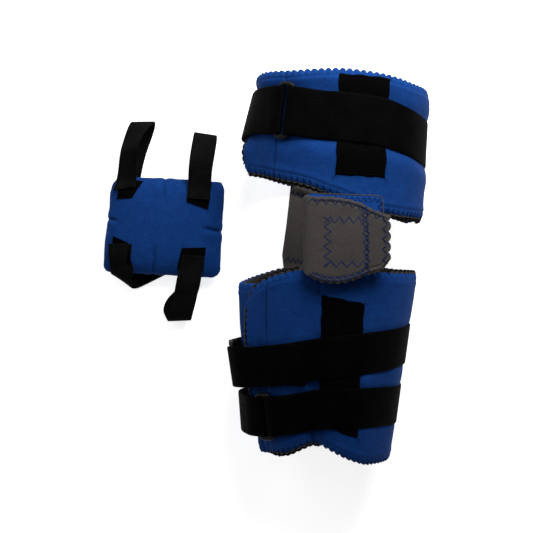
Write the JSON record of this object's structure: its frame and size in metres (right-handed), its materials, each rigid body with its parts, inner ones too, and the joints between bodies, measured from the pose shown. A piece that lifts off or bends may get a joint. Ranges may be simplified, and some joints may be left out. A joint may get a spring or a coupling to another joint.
{
  "type": "two-cuff limb splint",
  "caption": "Padded knee splint with a thigh cuff and a calf cuff joined by a side hinge under a fabric cover, buckled straps, and a separate strapped pad.",
  "frame": {"origin": "on the table under the middle of the whole object's box", "axes": "+Y from the calf cuff to the thigh cuff, +Z away from the table, so the knee turns about Z"},
  "size_m": [0.3312, 0.364, 0.1511],
  "materials": {
    "blue_laminate": "brushed loop fabric",
    "grey_lining": "knitted lining",
    "black_webbing": "woven webbing",
    "hook_and_loop": "loop pile",
    "black_plastic": "satin",
    "steel": "brushed",
    "filling": "soft filling"
  },
  "bodies": {
    "calf": {"calf_shell": "blue_laminate", "calf_shell_lining": "grey_lining", "calf_patch": "hook_and_loop", "calf_upright": "steel", "knee_rivet": "steel", "bridge_calf_half": "grey_lining", "cover_base": "blue_laminate", "calf_strap_side": "black_webbing", "ankle_strap_side": "black_webbing"},
    "thigh": {"thigh_shell": "blue_laminate", "thigh_shell_lining": "grey_lining", "thigh_patch": "hook_and_loop", "thigh_upright": "steel", "bridge_thigh_half": "grey_lining", "thigh_strap_side": "black_webbing"},
    "thigh_wrap": {"thigh_front": "blue_laminate", "thigh_front_lining": "grey_lining", "thigh_strap_front": "black_webbing", "thigh_strap_ring": "black_plastic", "thigh_strap_anchor": "black_webbing"},
    "calf_wrap": {"calf_front": "blue_laminate", "calf_front_lining": "grey_lining", "calf_strap_front": "black_webbing", "calf_strap_ring": "black_plastic", "calf_strap_anchor": "black_webbing", "calf_strap_tail": "black_webbing", "ankle_strap_front": "black_webbing", "ankle_strap_ring": "black_plastic", "ankle_strap_anchor": "black_webbing"},
    "flap": {"cover_flap": "grey_lining", "cover_flap_end": "grey_lining", "cover_hook_patch": "hook_and_loop"},
    "pad": {"pad_cover": "blue_laminate", "pad_filling": "filling", "pad_patch_bottom_left": "hook_and_loop", "pad_patch_bottom_right": "hook_and_loop", "pad_patch_top_left": "hook_and_loop", "pad_patch_top_right": "hook_and_loop", "pad_strap_bottom_left": "black_webbing", "pad_strap_bottom_right": "black_webbing", "pad_strap_top_left": "black_webbing", "pad_strap_top_right": "black_webbing", "pad_tab_bottom_left": "hook_and_loop", "pad_tab_bottom_right": "hook_and_loop", "pad_tab_top_left": "hook_and_loop", "pad_tab_top_right": "hook_and_loop"}
  },
  "joints": [
    {"name": "knee_bend", "type": "hinge", "parent": "calf", "child": "thigh", "pos_m": [0.0775, 0.034, 0.1316], "axis": [0, 0, -1], "range_deg": [0, 30]},
    {"name": "thigh_wrap_open", "type": "hinge", "parent": "thigh", "child": "thigh_wrap", "pos_m": [0.0665, 0.05, 0.13741], "axis": [0, 0.9921, 0.1258], "range_deg": [0, 110]},
    {"name": "calf_wrap_open", "type": "hinge", "parent": "calf", "child": "calf_wrap", "pos_m": [0.053, 0.002, 0.13997], "axis": [0, 0.9861, 0.166], "range_deg": [0, 110]},
    {"name": "cover_open", "type": "hinge", "parent": "calf", "child": "flap", "pos_m": [0.0393, 0.03, 0.1418], "axis": [0, -1, 0], "range_deg": [0, 150]},
    {"name": "pad_lift", "type": "slide", "parent": "calf", "child": "pad", "axis": [0, 0, 1], "range_m": [0, 0.15]}
  ]
}
